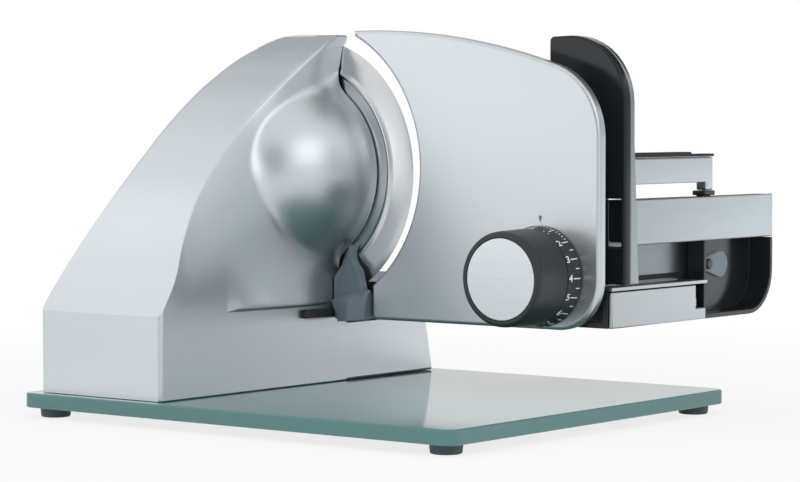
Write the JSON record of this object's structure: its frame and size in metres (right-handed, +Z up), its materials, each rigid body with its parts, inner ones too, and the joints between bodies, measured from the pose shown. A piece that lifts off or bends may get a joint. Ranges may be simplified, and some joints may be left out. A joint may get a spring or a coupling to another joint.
{
  "type": "food slicer",
  "caption": "Household food slicer with a fin-shaped metal housing, round blade, adjustable stop plate with dial, sliding carriage and remnant pusher on a glass base.",
  "frame": {"origin": "centre of the bottom of the object's box, on the surface under the feet", "axes": "+X along the carriage's travel towards the operator, +Y across the blade from the slice side to the food side, +Z up"},
  "size_m": [0.338, 0.377, 0.2379],
  "materials": {
    "teal_glass": "smooth, tinted teal",
    "dark_rubber": "matt",
    "silver_casting": "satin silver",
    "satin_aluminium": "satin",
    "polished_steel": "ground and polished",
    "satin_black_plastic": "satin",
    "gloss_black_plastic": "gloss",
    "bronze_wheel": "machined",
    "motor_iron": "dull",
    "zinc_screw": "zinc plated"
  },
  "bodies": {
    "base": {"glass_base": "teal_glass", "rubber_foot_1": "dark_rubber", "rubber_foot_2": "dark_rubber", "rubber_foot_3": "dark_rubber", "rubber_foot_4": "dark_rubber", "base_screw_1": "zinc_screw", "base_screw_2": "zinc_screw", "base_screw_3": "zinc_screw", "base_screw_4": "zinc_screw", "housing_shell": "silver_casting", "bottom_cover": "zinc_screw", "motor_stator": "motor_iron", "motor_lower_bracket": "silver_casting", "motor_upper_bracket": "silver_casting", "run_capacitor": "satin_aluminium", "back_bearing": "polished_steel", "front_bearing": "polished_steel", "lower_blade_guard": "satin_black_plastic", "adjust_rod": "polished_steel", "guide_beam": "satin_black_plastic", "beam_end_cap": "satin_aluminium", "channel_stop_screw": "zinc_screw", "switch_body": "satin_black_plastic", "cord_inlet": "dark_rubber"},
    "motor_shaft": {"motor_rotor": "polished_steel", "motor_worm": "polished_steel"},
    "blade_unit": {"drive_gear": "bronze_wheel", "blade_shaft": "polished_steel", "drive_pin_1": "polished_steel", "drive_pin_2": "polished_steel", "drive_pin_3": "polished_steel", "blade": "polished_steel"},
    "lock": {"blade_lock": "satin_black_plastic"},
    "stop_plate_unit": {"stop_plate": "silver_casting", "guide_rod_1": "polished_steel", "guide_rod_2": "polished_steel", "dial_axle": "polished_steel", "axle_screw": "zinc_screw"},
    "dial": {"dial_knob": "satin_black_plastic", "dial_disc": "satin_aluminium", "dial_thread_sleeve": "satin_black_plastic"},
    "carriage": {"food_tray": "satin_aluminium", "carriage_wall": "satin_aluminium", "rail_beam": "satin_black_plastic", "rail_band": "satin_aluminium", "carriage_end_shell": "gloss_black_plastic", "lever_pin": "zinc_screw", "carriage_runner": "satin_black_plastic", "runner_screw_1": "zinc_screw", "runner_screw_2": "zinc_screw"},
    "lever": {"carriage_lever": "satin_black_plastic"},
    "pusher": {"pusher_face": "gloss_black_plastic", "pusher_back": "satin_aluminium", "pusher_arm": "satin_aluminium", "pusher_arm_cap": "satin_black_plastic", "pusher_slider": "satin_black_plastic"},
    "power_button": {"switch_button": "satin_black_plastic"}
  },
  "joints": [
    {"name": "motor_spin", "type": "hinge", "parent": "base", "child": "motor_shaft", "pos_m": [-0.12124, -0.0545, 0.1486], "axis": [0, 0, 1], "continuous": true},
    {"name": "blade_spin", "type": "hinge", "parent": "base", "child": "blade_unit", "pos_m": [-0.08125, -0.0085, 0.1486], "axis": [0, -1, 0], "continuous": true},
    {"name": "blade_lock_turn", "type": "hinge", "parent": "blade_unit", "child": "lock", "pos_m": [-0.08125, -0.0085, 0.1486], "axis": [0, 1, 0], "range_deg": [0, 90]},
    {"name": "stop_plate_slide", "type": "slide", "parent": "base", "child": "stop_plate_unit", "axis": [0, -1, 0], "range_m": [0, 0.02]},
    {"name": "dial_turn", "type": "hinge", "parent": "stop_plate_unit", "child": "dial", "pos_m": [0.10545, -0.0155, 0.0877], "axis": [0, -1, 0], "range_deg": [0, 337.5]},
    {"name": "carriage_slide", "type": "slide", "parent": "base", "child": "carriage", "axis": [-1, 0, 0], "range_m": [0, 0.18]},
    {"name": "pusher_slide", "type": "slide", "parent": "carriage", "child": "pusher", "axis": [0, 1, 0], "range_m": [-0.008, 0.06]},
    {"name": "lever_turn", "type": "hinge", "parent": "carriage", "child": "lever", "pos_m": [0.13795, 0.1167, 0.0908], "axis": [1, 0, 0], "range_deg": [-20, 20]},
    {"name": "button_press", "type": "slide", "parent": "base", "child": "power_button", "axis": [1, 0, 0], "range_m": [0, 0.002], "stiffness_N_per_m": 400, "springref_m": -0.001}
  ],
  "couplings": [
    {"joint": "blade_spin", "follows": "motor_spin", "ratio": 0.020833},
    {"joint": "dial_turn", "follows": "stop_plate_slide", "rad_per_m": 294.52}
  ]
}
